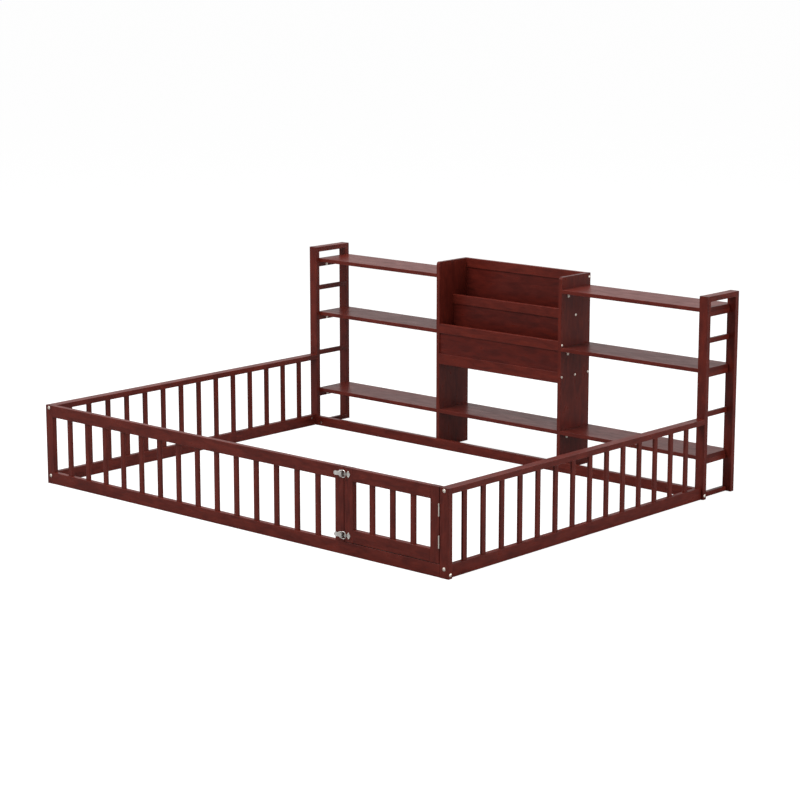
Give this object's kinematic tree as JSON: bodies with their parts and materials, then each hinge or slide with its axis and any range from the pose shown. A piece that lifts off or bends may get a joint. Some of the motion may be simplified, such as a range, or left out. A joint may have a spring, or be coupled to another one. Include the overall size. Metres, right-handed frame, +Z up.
{
  "type": "floor bed",
  "caption": "Low slatted floor bed frame with a hinged front gate, end ladders, side shelves and a tiered bookcase headboard.",
  "frame": {"origin": "on the floor, in the middle of the footprint with the latches on the front included", "axes": "+X across the width towards the gate's hinges, +Y from the fence front to the headboard, +Z up"},
  "size_m": [1.994, 1.6286, 0.7493],
  "materials": {
    "stained_wood": "dark red-brown stain under satin lacquer",
    "dowel_beech": "bare",
    "steel": "nickel plated, satin"
  },
  "bodies": {
    "root": {"front_left_post": "stained_wood", "front_right_post": "stained_wood", "front_bottom_rail": "stained_wood", "front_top_rail": "stained_wood", "front_latch_stile": "stained_wood", "front_slats": "stained_wood", "left_top_rail": "stained_wood", "left_bottom_rail": "stained_wood", "left_slats": "stained_wood", "right_top_rail": "stained_wood", "right_bottom_rail": "stained_wood", "right_slats": "stained_wood", "back_bottom_rail": "stained_wood", "left_ladder_front_post": "stained_wood", "left_ladder_back_post": "stained_wood", "left_ladder_rails": "stained_wood", "right_ladder_front_post": "stained_wood", "right_ladder_back_post": "stained_wood", "right_ladder_rails": "stained_wood", "ladder_cleats": "stained_wood", "left_lower_shelf": "stained_wood", "left_middle_shelf": "stained_wood", "left_upper_shelf": "stained_wood", "right_lower_shelf": "stained_wood", "right_middle_shelf": "stained_wood", "right_upper_shelf": "stained_wood", "centre_shelf": "stained_wood", "bookcase_left_side": "stained_wood", "bookcase_right_side": "stained_wood", "front_tier_rails": "stained_wood", "middle_tier_rails": "stained_wood", "back_tier_rails": "stained_wood", "tier_panels": "stained_wood", "pocket_floors": "stained_wood", "shelf_brackets": "steel", "bracket_screws": "steel", "bookcase_bolts": "steel", "corner_bolts": "steel", "barrel_nuts": "steel", "frame_dowels": "dowel_beech", "hinge_post_leaves": "steel", "hinge_pins": "steel", "latch_bases": "steel", "latch_pins": "steel", "latch_screws": "steel"},
    "gate": {"gate_latch_stile": "stained_wood", "gate_hinge_stile": "stained_wood", "gate_top_rail": "stained_wood", "gate_bottom_rail": "stained_wood", "gate_slats": "stained_wood", "gate_dowels": "dowel_beech", "hinge_gate_leaves": "steel", "latch_hooks": "steel", "hook_screws": "steel"},
    "upper_lever": {"upper_latch_lever": "steel"},
    "lower_lever": {"lower_latch_lever": "steel"},
    "upper_loop": {"upper_latch_loop": "steel"},
    "lower_loop": {"lower_latch_loop": "steel"}
  },
  "joints": [
    {"name": "gate_hinge", "type": "hinge", "parent": "root", "child": "gate", "pos_m": [0.9553, -0.8063, 0.172], "axis": [0, 0, 1], "range_deg": [0, 170]},
    {"name": "upper_lever_pivot", "type": "hinge", "parent": "root", "child": "upper_lever", "pos_m": [0.529, -0.8089, 0.278], "axis": [0, 0, 1], "range_deg": [0, 150]},
    {"name": "upper_loop_pivot", "type": "hinge", "parent": "upper_lever", "child": "upper_loop", "pos_m": [0.521, -0.8089, 0.278], "axis": [0, 0, 1], "range_deg": [-180, 0]},
    {"name": "lower_lever_pivot", "type": "hinge", "parent": "root", "child": "lower_lever", "pos_m": [0.529, -0.8089, 0.068], "axis": [0, 0, 1], "range_deg": [0, 150]},
    {"name": "lower_loop_pivot", "type": "hinge", "parent": "lower_lever", "child": "lower_loop", "pos_m": [0.521, -0.8089, 0.068], "axis": [0, 0, 1], "range_deg": [-180, 0]}
  ],
  "couplings": [
    {"joint": "upper_loop_pivot", "follows": "upper_lever_pivot", "ratio": -1.2},
    {"joint": "lower_loop_pivot", "follows": "lower_lever_pivot", "ratio": -1.2}
  ]
}
